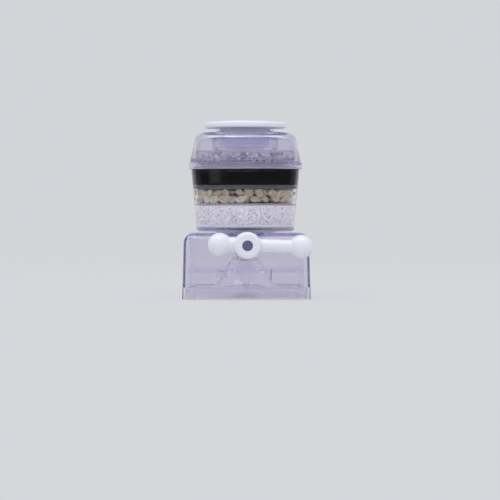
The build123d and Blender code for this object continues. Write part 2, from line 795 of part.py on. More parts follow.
# Stream screen: a thin perforated steel disc in the nozzle's seat
stream_rings = int((screen_seat_r - SCREEN_HOLE_R) / STREAM_PITCH)
with BuildPart() as stream_screen:
    with BuildSketch(Plane.XY.offset(plate_top_z + NOZZLE_FLANGE_T - SCREEN_T)):
        Circle(screen_seat_r - PRESS_GAP)
        for ring in range(1, stream_rings + 1):
            with PolarLocations(ring * STREAM_PITCH, ring * HOLES_PER_RING):
                Circle(SCREEN_HOLE_R, mode=Mode.SUBTRACT)
    extrude(amount=SCREEN_T)
write(stream_screen, "stream_screen")

# Lever: one moulding, a round hub with a long arm and a short arm that both end in a ball
short_neck_x = -SHORT_ARM + sqrt(BALL_R**2 - SHORT_ARM_R**2)
long_neck_x = LONG_ARM - sqrt(BALL_R**2 - ARM_TIP_R**2)
with BuildPart() as lever:
    with BuildSketch(Plane.XZ.offset(-lever_back_y)):
        with Locations((0, valve_z)):
            Circle(LEVER_R)
    extrude(amount=LEVER_DEPTH)
    fillet(lever.edges().group_by(Axis.Y)[0], LEVER_EDGE)
    with BuildSketch(arm_plane):
        with BuildLine():
            ThreePointArc(
                (-SHORT_ARM - BALL_R, 0), (-SHORT_ARM, BALL_R), (short_neck_x, SHORT_ARM_R)
            )
            Polyline(
                (short_neck_x, SHORT_ARM_R),
                (0, SHORT_ARM_R),
                (0, ARM_ROOT_R),
                (long_neck_x, ARM_TIP_R),
            )
            ThreePointArc((long_neck_x, ARM_TIP_R), (LONG_ARM, BALL_R), (LONG_ARM + BALL_R, 0))
            Line((LONG_ARM + BALL_R, 0), (-SHORT_ARM - BALL_R, 0))
        make_face()
    revolve(axis=arm_axis)
    with BuildSketch(Plane.XZ.offset(-lever_back_y)):
        with Locations((0, valve_z)):
            Rectangle(TANG_SIDE + 2 * PRESS_GAP, TANG_SIDE + 2 * PRESS_GAP)
    extrude(amount=lever_back_y - tang_y + TANG_L, mode=Mode.SUBTRACT)
    with BuildSketch(Plane.XZ.offset(-lever_front_y)):
        with Locations((0, valve_z)):
            Circle(PLUG_R + PRESS_GAP)
    extrude(amount=-(PLUG_T + SCREW_HEAD_T), mode=Mode.SUBTRACT)
    with BuildSketch(Plane.XZ.offset(-lever_front_y)):
        with Locations((0, valve_z)):
            Circle(SCREW_R + PRESS_GAP)
    extrude(amount=-LEVER_DEPTH, mode=Mode.SUBTRACT)
write(lever, "lever")

# Screw that holds the lever on the tang
with BuildPart() as lever_screw:
    with BuildSketch(Plane.XZ.offset(-screw_seat_y)):
        with Locations((0, valve_z)):
            Circle(SCREW_HEAD_R)
    extrude(amount=SCREW_HEAD_T - PRESS_GAP)
    with BuildSketch(Plane.XZ.offset(-screw_seat_y)):
        with Locations((0, valve_z)):
            Circle(SCREW_R)
    extrude(amount=-SCREW_L)
    with BuildSketch(Plane.XZ.offset(-screw_seat_y + SCREW_HEAD_T - PRESS_GAP)):
        with Locations((0, valve_z)):
            Rectangle(DRIVE_W, DRIVE_L)
            Rectangle(DRIVE_L, DRIVE_W)
    extrude(amount=-DRIVE_W, mode=Mode.SUBTRACT)
write(lever_screw, "lever_screw")

# Dark plug over the screw, with a low crown
with BuildPart() as lever_plug:
    with BuildSketch(Plane.YZ):
        with BuildLine():
            Polyline(
                (lever_front_y, valve_z + PLUG_R),
                (lever_front_y + PLUG_T, valve_z + PLUG_R),
                (lever_front_y + PLUG_T, valve_z),
                (lever_front_y - PLUG_CROWN, valve_z),
            )
            TangentArc(
                (lever_front_y - PLUG_CROWN, valve_z),
                (lever_front_y, valve_z + PLUG_R),
                tangent=(0, 1),
            )
        make_face()
    revolve(axis=valve_axis)
write(lever_plug, "lever_plug")
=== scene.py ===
import math
import random

import bpy
from mathutils import Euler, Matrix, Vector, noise


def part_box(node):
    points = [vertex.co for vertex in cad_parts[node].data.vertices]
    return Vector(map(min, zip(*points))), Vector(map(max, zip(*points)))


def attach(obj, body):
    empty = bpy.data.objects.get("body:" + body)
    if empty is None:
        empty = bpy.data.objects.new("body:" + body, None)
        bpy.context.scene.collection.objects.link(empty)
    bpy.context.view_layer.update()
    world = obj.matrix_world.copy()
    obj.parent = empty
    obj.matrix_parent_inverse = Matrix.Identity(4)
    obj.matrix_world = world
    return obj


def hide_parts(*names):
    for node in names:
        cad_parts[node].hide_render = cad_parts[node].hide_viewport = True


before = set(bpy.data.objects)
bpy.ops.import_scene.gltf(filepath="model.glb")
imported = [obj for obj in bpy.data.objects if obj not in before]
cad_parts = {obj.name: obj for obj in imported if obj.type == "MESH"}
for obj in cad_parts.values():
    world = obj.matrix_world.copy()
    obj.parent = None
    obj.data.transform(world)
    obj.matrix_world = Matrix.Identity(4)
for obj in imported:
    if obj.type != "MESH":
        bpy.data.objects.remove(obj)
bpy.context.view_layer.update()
random.seed(7)

MM = 0.001

# Measures taken from the frame, in millimetres, from the top of the filter down

def node_box(node):
    """Lowest and highest corner of a solid, in millimetres."""
    return [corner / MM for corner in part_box(node)]


low_sleeve = node_box("spout_sleeve")[0]
low_cap, high_cap = node_box("cap")
low_inlet, high_inlet = node_box("inlet_washer")
low_cup, high_cup = node_box("cup")
low_pad = node_box("bottom_pad")[0]
low_washer = node_box("swivel_washer")[0]
low_head, high_head = node_box("head_shell")
low_rotor, high_rotor = node_box("valve_rotor")
low_bell, high_bell = node_box("stream_bell")
low_floor, high_floor = node_box("inner_floor")
low_plate, high_plate = node_box("spray_plate")
low_lever, high_lever = node_box("lever")

COLLAR_H = 2.1
FLANGE_H = 2.85
LEDGE_T = 1.2

RING_Z = high_cap.z
DECK_Z = RING_Z - COLLAR_H
JOINT_Z = low_cap.z
FLANGE_Z = JOINT_Z + FLANGE_H
BOSS_Z = low_inlet.z - LEDGE_T
NECK_Z = high_cup.z
CUP_FLOOR_Z = low_pad.z
CUP_Z = low_cup.z
HEAD_Z = low_washer.z
VALVE_Z = (low_rotor.z + high_rotor.z) / 2
BASE_Z = low_head.z
FRONT_Y = low_head.y

CUP_TOP_R = 24.3
CUP_BOTTOM_R = 21.95
CUP_WALL = 1.5
CUP_SHOULDER = 1.6
NECK_R = 22.2
NECK_IN_R = 20.4
SOCKET_R = high_inlet.x + 0.05
BELL_TOP_R = 5.65
HEAD_TAPER = 1.3
THREAD_PITCH = 2.5
THREAD_TURNS = 1.25
THREAD_Z = JOINT_Z + 1.6

# How a layer meets its clear wall: off it, sunk a hair into it, or with a film of air between two faces
BED_GAP = 0.12
SUNK = 0.05
AIR = 0.03


def cup_in_r(z):
    """Inner radius of the cup's tapered wall at a height."""
    outer = CUP_BOTTOM_R + (CUP_TOP_R - CUP_BOTTOM_R) * (z - CUP_Z) / (JOINT_Z - CUP_Z)
    return outer - CUP_WALL


# Modelling helpers

def only(piece):
    """Select one object and make it the active one."""
    bpy.ops.object.select_all(action="DESELECT")
    piece.select_set(True)
    bpy.context.view_layer.objects.active = piece


def edit(piece, kind="VERT"):
    """Open an object in edit mode with nothing selected."""
    only(piece)
    bpy.ops.object.mode_set(mode="EDIT")
    bpy.ops.mesh.select_mode(type=kind)
    bpy.ops.mesh.select_all(action="DESELECT")


def pick(piece, kind, test):
    """Select the vertices, edges or faces of the open object whose centre passes a test, in millimetres."""
    bpy.ops.object.mode_set(mode="OBJECT")
    mesh = piece.data
    for item in (*mesh.vertices, *mesh.edges, *mesh.polygons):
        item.select = False
    if kind == "VERT":
        for v in mesh.vertices:
            v.select = test(v.co / MM)
    elif kind == "EDGE":
        for e in mesh.edges:
            a, b = (mesh.vertices[i].co / MM for i in e.vertices)
            e.select = test((a + b) / 2, (b - a).normalized())
    else:
        for f in mesh.polygons:
            f.select = test(f.center / MM, f.normal)
    bpy.ops.object.mode_set(mode="EDIT")
    bpy.ops.mesh.select_mode(type=kind)


def close(piece, smooth=35):
    """Merge doubles, drop stray edges, point the faces outwards and smooth all but the sharp edges."""
    bpy.ops.mesh.select_all(action="SELECT")
    bpy.ops.mesh.remove_doubles(threshold=1e-7)
    bpy.ops.mesh.delete_loose(use_verts=True, use_edges=True, use_faces=False)
    bpy.ops.mesh.select_all(action="SELECT")
    bpy.ops.mesh.normals_make_consistent(inside=False)
    bpy.ops.object.mode_set(mode="OBJECT")
    only(piece)
    bpy.ops.object.shade_smooth_by_angle(angle=math.radians(smooth))


def arc(cx, cy, radius, start, end, steps):
    """Points of an arc in a half section, from one angle to another, in degrees."""
    points = []
    for i in range(steps + 1):
        a = math.radians(start + (end - start) * i / steps)
        points.append((cx + radius * math.cos(a), cy + radius * math.sin(a)))
    return points


def wire(name, points):
    """Draw a line through points in millimetres, and leave it open in edit mode."""
    bpy.ops.object.select_all(action="DESELECT")
    bpy.ops.mesh.primitive_plane_add(size=MM)
    piece = bpy.context.object
    piece.name = name
    bpy.ops.object.mode_set(mode="EDIT")
    bpy.ops.mesh.select_mode(type="VERT")
    bpy.ops.mesh.select_all(action="SELECT")
    bpy.ops.mesh.merge(type="CENTER")
    bpy.ops.transform.translate(value=Vector(points[0]) * MM)
    for start, end in zip(points, points[1:]):
        step = (Vector(end) - Vector(start)) * MM
        bpy.ops.mesh.extrude_region_move(TRANSFORM_OT_translate={"value": step})
    bpy.ops.mesh.select_all(action="SELECT")
    return piece


def turned(name, outline, steps=128, smooth=35, axis=(0, 0, 1)):
    """Spin a half section of points about an axis through the origin; it is closed off the axis."""
    along_x = axis[0] == 1
    points = [(u, 0, v) for u, v in outline]
    ends = [outline[0], outline[-1]]
    if any(abs(v if along_x else u) > 1e-6 for u, v in ends):
        points.append(points[0])
    piece = wire(name, points)
    bpy.ops.mesh.remove_doubles(threshold=1e-7)
    bpy.ops.mesh.spin(steps=steps, angle=math.tau, center=(0, 0, 0), axis=axis)
    close(piece, smooth)
    return piece


def block(name, size, centre):
    """A plain box at its size and place, in millimetres, ready to be shaped."""
    bpy.ops.object.select_all(action="DESELECT")
    bpy.ops.mesh.primitive_cube_add(size=MM, location=Vector(centre) * MM)
    piece = bpy.context.object
    piece.name = name
    piece.scale = size
    bpy.ops.object.transform_apply(location=True, rotation=True, scale=True)
    return piece


def rod(name, radius, start, end, steps=48):
    """A round bar from one point to another, in millimetres."""
    a, b = Vector(start), Vector(end)
    bpy.ops.object.select_all(action="DESELECT")
    bpy.ops.mesh.primitive_cylinder_add(
        vertices=steps,
        radius=radius * MM,
        depth=(b - a).length * MM,
        location=(a + b) / 2 * MM,
        rotation=(b - a).to_track_quat("Z", "Y").to_euler(),
    )
    piece = bpy.context.object
    piece.name = name
    bpy.ops.object.transform_apply(location=True, rotation=True, scale=True)
    return piece


def carve(piece, tool, operation="DIFFERENCE"):
    """Cut one piece with another, or add the other to it, and drop the tool."""
    only(piece)
    cut = piece.modifiers.new("cut", "BOOLEAN")
    cut.operation = operation
    cut.object = tool
    cut.solver = "EXACT"
    bpy.ops.object.modifier_apply(modifier=cut.name)
    bpy.data.objects.remove(tool, do_unlink=True)


def even_normals(piece, smooth=35):
    """Smooth a cut piece so that its large flat faces stay flat."""
    only(piece)
    bpy.ops.object.shade_smooth_by_angle(angle=math.radians(smooth))
    weigh = piece.modifiers.new("weigh", "WEIGHTED_NORMAL")
    weigh.keep_sharp = True
    bpy.ops.object.modifier_apply(modifier=weigh.name)


def join(name, pieces):
    """Join several meshes into one object."""
    bpy.ops.object.select_all(action="DESELECT")
    for piece in pieces:
        piece.select_set(True)
    bpy.context.view_layer.objects.active = pieces[0]
    bpy.ops.object.join()
    pieces[0].name = name
    return pieces[0]


def seat(piece, body, slot, material, *nodes):
    """Give a finished piece its material and body, and hide the solids that it stands for; the slot is not
    used.
    """
    piece.data.materials.clear()
    piece.data.materials.append(material)
    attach(piece, body)
    if nodes:
        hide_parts(*nodes)


# Materials

DEPTH_TINT = (0.56, 0.52, 0.88)


def new_material(name):
    """An empty node material with its shader and output."""
    mat = bpy.data.materials.new(name)
    mat.use_nodes = True
    nodes = mat.node_tree.nodes
    return mat, nodes, mat.node_tree.links, nodes["Principled BSDF"]


def noise_bump(nodes, links, shader, scale, strength, distance, detail=4.0, stretch=None):
    """Fine relief from a noise on the object's own coordinates."""
    place = nodes.new("ShaderNodeTexCoord")
    source = place.outputs["Object"]
    if stretch:
        mapping = nodes.new("ShaderNodeMapping")
        mapping.inputs["Scale"].default_value = stretch
        links.new(source, mapping.inputs["Vector"])
        source = mapping.outputs["Vector"]
    tex = nodes.new("ShaderNodeTexNoise")
    tex.inputs["Scale"].default_value = scale
    tex.inputs["Detail"].default_value = detail
    links.new(source, tex.inputs["Vector"])
    bump = nodes.new("ShaderNodeBump")
    bump.inputs["Strength"].default_value = strength
    bump.inputs["Distance"].default_value = distance
    links.new(tex.outputs["Fac"], bump.inputs["Height"])
    links.new(bump.outputs["Normal"], shader.inputs["Normal"])
    return tex, source


def clear_plastic(name, tint, density, haze, roughness=0.02):
    """Clear moulded plastic, tinted more where it is thick, with a share of milky haze."""
    mat, nodes, links, shader = new_material(name)
    shader.inputs["Base Color"].default_value = (*tint, 1)
    shader.inputs["Roughness"].default_value = roughness
    shader.inputs["IOR"].default_value = 1.49
    shader.inputs["Transmission Weight"].default_value = 1 - haze
    absorb = nodes.new("ShaderNodeVolumeAbsorption")
    absorb.inputs["Color"].default_value = (*DEPTH_TINT, 1)
    absorb.inputs["Density"].default_value = density
    links.new(absorb.outputs["Volume"], nodes["Material Output"].inputs["Volume"])
    noise_bump(nodes, links, shader, 90.0, 0.04, 0.0004, 2.0)
    return mat


def gloss_white(name, colour, roughness):
    """Moulded white plastic with the faint waviness of a moulding."""
    mat, nodes, links, shader = new_material(name)
    shader.inputs["IOR"].default_value = 1.5
    shader.inputs["Roughness"].default_value = roughness
    tex, source = noise_bump(nodes, links, shader, 220.0, 0.05, 0.0002, 3.0)
    ramp = nodes.new("ShaderNodeValToRGB")
    ramp.color_ramp.elements[0].color = (*[c * 0.96 for c in colour], 1)
    ramp.color_ramp.elements[1].color = (*colour, 1)
    links.new(tex.outputs["Fac"], ramp.inputs["Fac"])
    links.new(ramp.outputs["Color"], shader.inputs["Base Color"])
    return mat


def mirror_ray(nodes, links):
    """1 for a ray that a glossy face has just thrown back, and 0 for all others, through clear walls too."""
    ray = nodes.new("ShaderNodeLightPath")
    both = nodes.new("ShaderNodeMath")
    both.operation = "MULTIPLY"
    links.new(ray.outputs["Is Glossy Ray"], both.inputs[0])
    links.new(ray.outputs["Is Reflection Ray"], both.inputs[1])
    return both.outputs["Value"]


def speckled(name, colours, scale, roughness, strength, distance, stretch=None):
    """Grainy matter whose colour and relief come from one noise."""
    mat, nodes, links, shader = new_material(name)
    shader.inputs["Roughness"].default_value = roughness
    shader.inputs["Specular IOR Level"].default_value = 0.1
    tex, source = noise_bump(nodes, links, shader, scale, strength, distance, 6.0, stretch)
    ramp = nodes.new("ShaderNodeValToRGB")
    while len(ramp.color_ramp.elements) < len(colours):
        ramp.color_ramp.elements.new(0.5)
    for i, colour in enumerate(colours):
        ramp.color_ramp.elements[i].position = 0.3 + 0.4 * i / (len(colours) - 1)
        ramp.color_ramp.elements[i].color = (*colour, 1)
    links.new(tex.outputs["Fac"], ramp.inputs["Fac"])
    links.new(ramp.outputs["Color"], shader.inputs["Base Color"])
    return mat


def grains(name, colours, roughness, mottle, strength):
    """Loose grains, each with its own tone from the mesh, mottled by a fine noise."""
    mat, nodes, links, shader = new_material(name)
    shader.inputs["Roughness"].default_value = roughness
    tone = nodes.new("ShaderNodeAttribute")
    tone.attribute_name = "tone"
    ramp = nodes.new("ShaderNodeValToRGB")
    ramp.color_ramp.interpolation = "CONSTANT"
    while len(ramp.color_ramp.elements) < len(colours):
        ramp.color_ramp.elements.new(0.5)
    for i, colour in enumerate(colours):
        ramp.color_ramp.elements[i].position = i / len(colours)
        ramp.color_ramp.elements[i].color = (*colour, 1)
    links.new(tone.outputs["Fac"], ramp.inputs["Fac"])
    tex, source = noise_bump(nodes, links, shader, mottle, strength, 0.0003, 6.0)
    shade = nodes.new("ShaderNodeMapRange")
    shade.inputs["From Min"].default_value = 0.3
    shade.inputs["From Max"].default_value = 0.7
    shade.inputs["To Min"].default_value = 0.7
    shade.inputs["To Max"].default_value = 1.15
    links.new(tex.outputs["Fac"], shade.inputs["Value"])
    mix = nodes.new("ShaderNodeMix")
    mix.data_type = "RGBA"
    mix.blend_type = "MULTIPLY"
    mix.inputs["Factor"].default_value = 1.0
    links.new(ramp.outputs["Color"], mix.inputs["A"])
    links.new(shade.outputs["Result"], mix.inputs["B"])
    links.new(mix.outputs["Result"], shader.inputs["Base Color"])
    return mat


def steel(name, colour, roughness):
    """Bright stainless steel with a fine grain."""
    mat, nodes, links, shader = new_material(name)
    shader.inputs["Base Color"].default_value = (*colour, 1)
    shader.inputs["Metallic"].default_value = 1.0
    shader.inputs["Roughness"].default_value = roughness
    noise_bump(nodes, links, shader, 900.0, 0.1, 0.0001, 3.0)
    return mat


lavender = clear_plastic("clear lavender plastic", (0.875, 0.855, 0.925), 20.0, 0.0)
cup_clear = clear_plastic("clear pale plastic", (0.95, 0.94, 0.975), 4.0, 0.0)
bell_clear = clear_plastic("clear bell plastic", (0.99, 0.985, 1.0), 1.0, 0.0)
milky = clear_plastic("milky lavender plastic", (0.985, 0.975, 1.0), 3.0, 0.34)
frosted = clear_plastic("frosted lavender plastic", (0.50, 0.46, 0.66), 10.0, 0.80, 0.35)
white_gloss = gloss_white("white gloss plastic", (0.79, 0.80, 0.85), 0.16)
silicone = gloss_white("white silicone", (0.79, 0.80, 0.86), 0.38)
smoky = gloss_white("smoky silicone", (0.36, 0.35, 0.42), 0.38)
slate = gloss_white("slate violet plastic", (0.125, 0.12, 0.22), 0.18)
dark_rubber = gloss_white("black rubber", (0.03, 0.03, 0.04), 0.45)
carbon_black = speckled(
    "black carbon", [(0.003, 0.003, 0.003), (0.009, 0.009, 0.010)], 160.0, 0.35, 0.10, 0.0004, (1, 1, 6)
)
white_felt = speckled(
    "white felt", [(0.80, 0.79, 0.87), (0.95, 0.94, 0.98)], 1400.0, 0.9, 0.5, 0.0005
)
dusty_felt = speckled(
    "dusty felt", [(0.42, 0.41, 0.46), (0.56, 0.55, 0.60)], 1400.0, 0.9, 0.5, 0.0005
)
grey_felt = speckled(
    "grey felt", [(0.10, 0.10, 0.11), (0.26, 0.26, 0.28)], 1500.0, 0.9, 0.5, 0.0005
)
# Dark brown for the stone bed's core: painted shade that stands for the shadow in the gaps between the stones
painted_gap_shade = speckled(
    "painted shade between stones", [(0.016, 0.011, 0.008), (0.05, 0.036, 0.028)], 900.0, 0.7, 0.5, 0.0005
)
brown_mesh = speckled(
    "brown mesh", [(0.40, 0.33, 0.36), (0.66, 0.58, 0.62)], 1800.0, 0.7, 0.5, 0.0004
)
stone_tones = grains(
    "tan stones",
    [
        (0.58, 0.48, 0.35),
        (0.69, 0.60, 0.46),
        (0.76, 0.71, 0.61),
        (0.66, 0.52, 0.40),
        (0.52, 0.45, 0.30),
        (0.71, 0.60, 0.47),
        (0.62, 0.56, 0.41),
        (0.54, 0.50, 0.43),
    ],
    0.45, 700.0, 0.35,
)
granule_tones = grains(
    "white granules",
    [(0.92, 0.90, 0.98), (0.96, 0.945, 0.99), (0.94, 0.92, 0.985), (0.89, 0.87, 0.95), (0.42, 0.40, 0.45)],
    0.6, 2500.0, 0.25,
)
mineral_tones = grains(
    "grey mineral",
    [(0.93, 0.94, 0.95), (0.80, 0.82, 0.84), (0.98, 0.98, 0.98), (0.82, 0.88, 0.86), (0.60, 0.61, 0.64)],
    0.5, 1200.0, 0.4,
)
bright_steel = steel("bright steel", (0.62, 0.62, 0.64), 0.25)


# Spout sleeve: flange with a soft edge, a lip round the spout and ribs that grip the socket

def make_sleeve():
    """The soft white sleeve."""
    bore, body, ring, lip, edge, round_r = 9.5, 11.0, 18.2, 0.55, 0.8, 0.27
    outline = [(bore, low_sleeve.z), (bore, -round_r)]
    outline += arc(bore + round_r, -round_r, round_r, 180, 90, 5)
    outline += arc(body - round_r, -round_r, round_r, 90, 0, 5)
    outline += arc(body + 0.25, 0.25 - lip, 0.25, 180, 270, 4)
    outline += arc(ring - edge, -lip - edge, edge, 90, 0, 8)
    outline += arc(ring - edge, RING_Z + edge, edge, 0, -90, 8)
    ribs, reach = 4, RING_Z - low_sleeve.z
    outline.append((body, RING_Z))
    for i in range(ribs):
        mid = RING_Z - reach / ribs * (i + 0.5)
        outline += [(body, mid + 0.45), (body + 0.3, mid + 0.1), (body + 0.3, mid - 0.1), (body, mid - 0.45)]
    outline.append((body, low_sleeve.z))
    seat(turned("sleeve", outline, 144), "inlet", "white_silicone", silicone, "spout_sleeve")


# Cap: clear dome with its collar, socket, ledge, threaded bore and flange

def thread_ridge(name, root_r, crest_r, low, turns, start):
    """A right-hand screw thread, one ridge that rises by the pitch each turn and fades at both ends."""
    per_turn, fade_steps, root_half, crest_half = 96, 8, 0.55, 0.18
    steps = int(per_turn * turns)
    profile = [(root_r, 0, -root_half), (crest_r, 0, -crest_half)]
    profile += [(crest_r, 0, crest_half), (root_r, 0, root_half)]
    ridge = wire(name, profile + profile[:1])
    bpy.ops.mesh.remove_doubles(threshold=1e-7)
    bpy.ops.mesh.spin(steps=steps, angle=math.tau * turns, center=(0, 0, 0), axis=(0, 0, 1))
    bpy.ops.object.mode_set(mode="OBJECT")
    count = len(profile)
    for i, v in enumerate(ridge.data.vertices):
        step = i // count
        fade = min(step, steps - step, fade_steps) / fade_steps
        radius = math.hypot(v.co.x, v.co.y)
        target = root_r * MM + (radius - root_r * MM) * max(fade, 0.02)
        angle = math.tau * step / per_turn + start
        v.co = (
            target * math.cos(angle), target * math.sin(angle),
            (low + THREAD_PITCH * step / per_turn) * MM + v.co.z * max(fade, 0.05),
        )
    edit(ridge)
    bpy.ops.mesh.select_all(action="SELECT")
    bpy.ops.mesh.fill_holes(sides=0)
    close(ridge, 40)
    return ridge


def make_cap():
    """The clear cap."""
    collar, deck_r, skirt, flange, boss, bore = 13.0, 22.8, 25.0, 25.45, 14.9, 22.55
    rebate_r, rebate_h, ledge_r, wall = 23.73, 1.0, 8.8, 1.8
    edge, edge_in, lean = 3.2, 2.1, 9
    outline = [(SOCKET_R, RING_Z - 0.3), (SOCKET_R + 0.3, RING_Z), (collar - 0.3, RING_Z)]
    outline += [(collar, RING_Z - 0.3), (collar, DECK_Z + 0.4)]
    outline += arc(collar + 0.4, DECK_Z + 0.4, 0.4, 180, 270, 4)
    outline += arc(deck_r - edge, DECK_Z - edge, edge, 90, lean, 14)
    outline += [(skirt, FLANGE_Z + 0.1), (skirt + 0.15, FLANGE_Z)]
    outline += arc(flange - 0.35, FLANGE_Z - 0.35, 0.35, 90, 0, 5)
    outline += arc(flange - 0.35, JOINT_Z + 0.35, 0.35, 0, -90, 5)
    outline += [(rebate_r, JOINT_Z), (rebate_r, JOINT_Z + rebate_h), (bore, JOINT_Z + rebate_h)]
    outline += [(bore, NECK_Z + 0.7)]
    outline += arc(deck_r - edge - 0.5, DECK_Z - wall - edge_in, edge_in, lean, 90, 12)
    outline += arc(boss + 0.6, DECK_Z - wall - 0.6, 0.6, 90, 180, 5)
    outline += [(boss, BOSS_Z + 0.5), (boss - 0.5, BOSS_Z), (ledge_r, BOSS_Z), (ledge_r, low_inlet.z)]
    outline += [(SOCKET_R, low_inlet.z)]
    seat(turned("clear_cap", outline, 192), "inlet", "clear_lavender", lavender, "cap")
    ridge = thread_ridge("cap_thread", bore + 0.02, bore - 0.26, THREAD_Z, THREAD_TURNS, 1.4 * math.pi)
    seat(ridge, "inlet", "clear_lavender", lavender)


# Cup: clear tapered jar with a screw thread on its neck

def make_cup():
    """The clear cup."""
    hub_in, hub_out, hub_rise = 8.08, 9.58, 2.6
    outline = [(NECK_IN_R, NECK_Z - 0.3), (NECK_IN_R + 0.3, NECK_Z), (NECK_R - 0.5, NECK_Z)]
    outline += arc(NECK_R - 0.5, NECK_Z - 0.5, 0.5, 90, 0, 4)[1:]
    outline += [(NECK_R, JOINT_Z), (CUP_TOP_R - 0.3, JOINT_Z)]
    outline += arc(CUP_TOP_R - 0.3, JOINT_Z - 0.3, 0.3, 90, -5, 4)[1:]
    foot_z = CUP_Z + AIR
    outline += arc(CUP_BOTTOM_R - 1.1, foot_z + 1.17, 1.17, -5, -90, 8)
    outline += [(hub_in, foot_z), (hub_in, CUP_FLOOR_Z + hub_rise), (hub_out, CUP_FLOOR_Z + hub_rise)]
    outline += arc(hub_out + 0.6, CUP_FLOOR_Z + 0.6, 0.6, 180, 270, 4)
    inner, floor_z = cup_in_r(CUP_FLOOR_Z), CUP_FLOOR_Z + 0.03
    outline += arc(inner - 0.8, floor_z + 0.8, 0.8, -90, 0, 6)
    outline += [(cup_in_r(JOINT_Z - CUP_SHOULDER), JOINT_Z - CUP_SHOULDER), (NECK_IN_R, JOINT_Z)]
    seat(turned("clear_cup", outline, 192), "cup", "clear_lavender", cup_clear, "cup")
    ridge = thread_ridge("cup_thread", NECK_R - 0.02, NECK_R + 0.26, THREAD_Z, THREAD_TURNS, 0.4 * math.pi)
    seat(ridge, "cup", "clear_lavender", cup_clear)


# Filter layers

def disc_layer(name, node, slot, material, top_r, low_r, edge=0.25):
    """A pad or smooth bed between two levels, with softened rims."""
    low, high = node_box(node)
    outline = [(0, low.z), (low_r - edge, low.z), (low_r, low.z + edge)]
    outline += [(top_r, high.z - edge), (top_r - edge, high.z), (0, high.z)]
    seat(turned(name, outline, 128), "cup", slot, material, node)


def make_carbon():
    """The black bed, which fills the shoulder of the cup."""
    low, high = node_box("carbon_bed")
    shoulder = JOINT_Z - CUP_SHOULDER
    outline = [(0, low.z), (cup_in_r(low.z) + SUNK, low.z), (cup_in_r(shoulder) + SUNK, shoulder)]
    outline += [(NECK_IN_R + SUNK, high.z), (0, high.z)]
    seat(turned("carbon", outline, 160), "cup", "black_carbon", carbon_black, "carbon_bed")


def stone_shape(seed, detail):
    """One pebble of unit size, an icosphere pushed about by a slow noise."""
    bpy.ops.object.select_all(action="DESELECT")
    bpy.ops.mesh.primitive_ico_sphere_add(subdivisions=detail, radius=1.0)
    stone = bpy.context.object
    shift = Vector((seed * 3.7, seed * 1.9, seed * 5.3))
    for v in stone.data.vertices:
        v.co *= 1 + 0.42 * noise.noise(v.co * 0.9 + shift) + 0.12 * noise.noise(v.co * 2.3 + shift)
    return stone


def strew(name, shapes, spots, wall_r, low, high):
    """Copy pebble shapes to their spots, flat against the wall, and join them, each with its own tone."""
    copies = []
    for place, size, tone in spots:
        mesh = random.choice(shapes).data.copy()
        tilt = [random.uniform(-0.5, 0.5), random.uniform(-0.5, 0.5), random.uniform(0, math.tau)]
        turn = Euler(tilt).to_matrix().to_4x4()
        grow = Matrix.Diagonal((*(Vector(size) * MM), 1))
        mesh.transform(Matrix.Translation(Vector(place) * MM) @ turn @ grow)
        off = random.uniform(0, 0.05)
        for v in mesh.vertices:
            v.co.z = min(max(v.co.z, (low + off) * MM), (high - off) * MM)
            r = math.hypot(v.co.x, v.co.y)
            limit = (wall_r(v.co.z / MM) + SUNK - off) * MM
            if r > limit:
                v.co.x *= limit / r
                v.co.y *= limit / r
        layer = mesh.attributes.new("tone", "FLOAT", "POINT")
        layer.data.foreach_set("value", [tone] * len(mesh.vertices))
        copy = bpy.data.objects.new(name, mesh)
        bpy.context.collection.objects.link(copy)
        copies.append(copy)
    heap = join(name, copies)
    only(heap)
    bpy.ops.object.shade_smooth()
    for shape in shapes:
        bpy.data.objects.remove(shape, do_unlink=True)
    return heap


def ring_spots(radius, height, count, size, jitter, first=0.0):
    """Spots round a ring, each a little off its place and of its own size and tone."""
    spots = []
    for i in range(count):
        a = math.tau * (i + first + random.uniform(-0.2, 0.2)) / count
        r = radius + random.uniform(-jitter, 0)
        z = height + random.uniform(-jitter, jitter) * 0.5
        s = size * random.uniform(0.82, 1.18)
        shape = (s * random.uniform(0.95, 1.3), s * random.uniform(0.95, 1.2), s * random.uniform(0.72, 0.95))
        spots.append(((r * math.cos(a), r * math.sin(a), z), shape, random.random()))
    return spots


def make_stones():
    """The bed of tan stones, two staggered courses of pebbles at the wall and a dark core whose colour is
    painted shade for the gaps between them.
    """
    low, high = node_box("stone_bed")
    rise, count = high.z - low.z, 27
    spots = []
    for level, first in ((0.28, 0.0), (0.72, 0.5)):
        z = low.z + rise * level
        spots += ring_spots(cup_in_r(z) - 1.2, z, count, 1.95, 0.3, first)
        spots += ring_spots(cup_in_r(z) - 4.4, z, count - 6, 2.2, 0.6, first)
    shapes = [stone_shape(i, 3) for i in range(6)]
    heap = strew("stones", shapes, spots, cup_in_r, low.z, high.z)
    seat(heap, "cup", "tan_stones", stone_tones, "stone_bed")
    # A dark cylinder inside the pebbles, coloured as painted shade for the gaps between them
    core_r = cup_in_r(low.z) - 3.0
    core = turned("stone_core", [(0, low.z), (core_r, low.z), (core_r, high.z), (0, high.z)], 64)
    seat(core, "cup", "tan_stones", painted_gap_shade)


